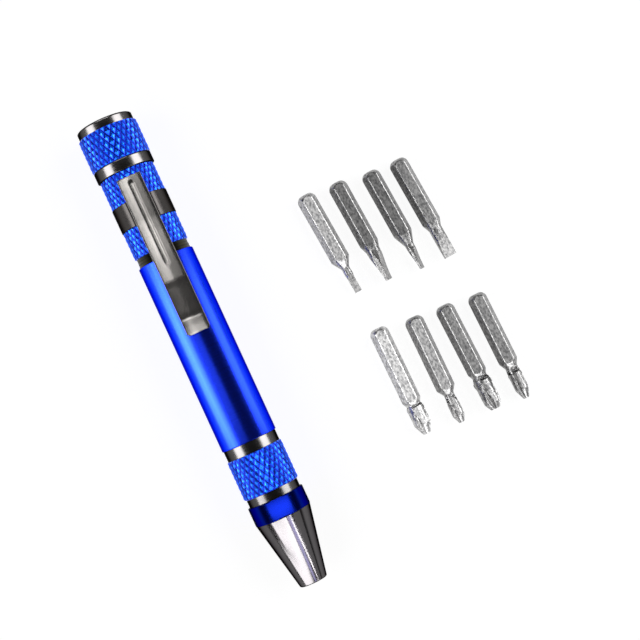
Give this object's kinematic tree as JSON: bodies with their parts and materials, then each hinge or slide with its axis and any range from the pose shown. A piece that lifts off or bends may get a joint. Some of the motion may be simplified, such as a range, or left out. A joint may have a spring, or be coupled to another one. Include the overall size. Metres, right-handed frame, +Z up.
{
  "type": "pocket screwdriver",
  "caption": "Pen-shaped pocket screwdriver with a hexagon bit socket, knurled grips, a pocket clip, a spinning tail cap, a pull-out bit rack and its loose bits laid out beside it.",
  "frame": {"origin": "centre of the bit socket's mouth, at the tip of the nose cone", "axes": "+X along the pen's axis and out of the socket, +Z up through the pocket clip, +Y towards the loose bits, which lie on the same floor as the pen"},
  "size_m": [0.112, 0.0704, 0.015],
  "materials": {
    "cone_steel": "polished",
    "socket_steel": "machined",
    "magnet": "plated",
    "collar_blue": "glossy anodised",
    "nickel": "bright plated",
    "grip_blue": "knurled, anodised",
    "barrel_blue": "smooth anodised",
    "pad_rubber": "matt",
    "core_metal": "dark anodised, turned",
    "seal_rubber": "satin",
    "band_steel": "dark nickel",
    "clip_steel": "satin nickel",
    "rack_plastic": "moulded",
    "pin_steel": "plain",
    "washer_plastic": "plain",
    "axle_steel": "plain",
    "bush_brass": "machined",
    "bit_steel": "plated, lightly grained"
  },
  "bodies": {
    "handle": {"nose_cone": "cone_steel", "bit_socket": "socket_steel", "socket_magnet": "magnet", "nose_collar": "collar_blue", "front_tube": "nickel", "grip_sleeve": "grip_blue", "barrel": "barrel_blue", "bore_pad": "pad_rubber"},
    "seal": {"seal_ring": "seal_rubber"},
    "rear_section": {"rear_core": "core_metal", "rear_sleeve": "grip_blue", "clip_band": "band_steel", "bit_rack": "rack_plastic", "rack_pin": "pin_steel", "tail_ring": "nickel", "slip_washer": "washer_plastic", "cap_axle": "axle_steel"},
    "clip_spring": {"clip_arm": "clip_steel"},
    "tail_cap": {"cap_bush": "bush_brass", "cap_sleeve": "grip_blue", "end_disc": "nickel"},
    "bit_slotted_1_5": {"bit_slotted_1_5": "bit_steel"},
    "bit_slotted_3_0": {"bit_slotted_3_0": "bit_steel"},
    "bit_slotted_2_0": {"bit_slotted_2_0": "bit_steel"},
    "bit_slotted_3_5": {"bit_slotted_3_5": "bit_steel"},
    "bit_cross_1": {"bit_cross_1": "bit_steel"},
    "bit_cross_00": {"bit_cross_00": "bit_steel"},
    "bit_cross_2": {"bit_cross_2": "bit_steel"},
    "bit_cross_0": {"bit_cross_0": "bit_steel"}
  },
  "joints": [
    {"name": "rack_pull", "type": "slide", "parent": "handle", "child": "seal", "axis": [-1, 0, 0], "range_m": [0, 0.058]},
    {"name": "rear_turn", "type": "hinge", "parent": "seal", "child": "rear_section", "pos_m": [-0.0768, 0, 0], "axis": [1, 0, 0], "continuous": true},
    {"name": "clip_flex", "type": "hinge", "parent": "rear_section", "child": "clip_spring", "pos_m": [-0.0874, 0, 0.00711], "axis": [0, -1, 0], "range_deg": [0, 4], "stiffness_Nm_per_rad": 0.3},
    {"name": "tail_cap_spin", "type": "hinge", "parent": "rear_section", "child": "tail_cap", "pos_m": [-0.105, 0, 0], "axis": [1, 0, 0], "continuous": true},
    {"name": "slotted_1_5_lift", "type": "slide", "parent": "handle", "child": "bit_slotted_1_5", "axis": [0, 0, 1], "range_m": [0, 0.03]},
    {"name": "slotted_3_0_lift", "type": "slide", "parent": "handle", "child": "bit_slotted_3_0", "axis": [0, 0, 1], "range_m": [0, 0.03]},
    {"name": "slotted_2_0_lift", "type": "slide", "parent": "handle", "child": "bit_slotted_2_0", "axis": [0, 0, 1], "range_m": [0, 0.03]},
    {"name": "slotted_3_5_lift", "type": "slide", "parent": "handle", "child": "bit_slotted_3_5", "axis": [0, 0, 1], "range_m": [0, 0.03]},
    {"name": "cross_1_lift", "type": "slide", "parent": "handle", "child": "bit_cross_1", "axis": [0, 0, 1], "range_m": [0, 0.03]},
    {"name": "cross_00_lift", "type": "slide", "parent": "handle", "child": "bit_cross_00", "axis": [0, 0, 1], "range_m": [0, 0.03]},
    {"name": "cross_2_lift", "type": "slide", "parent": "handle", "child": "bit_cross_2", "axis": [0, 0, 1], "range_m": [0, 0.03]},
    {"name": "cross_0_lift", "type": "slide", "parent": "handle", "child": "bit_cross_0", "axis": [0, 0, 1], "range_m": [0, 0.03]}
  ]
}
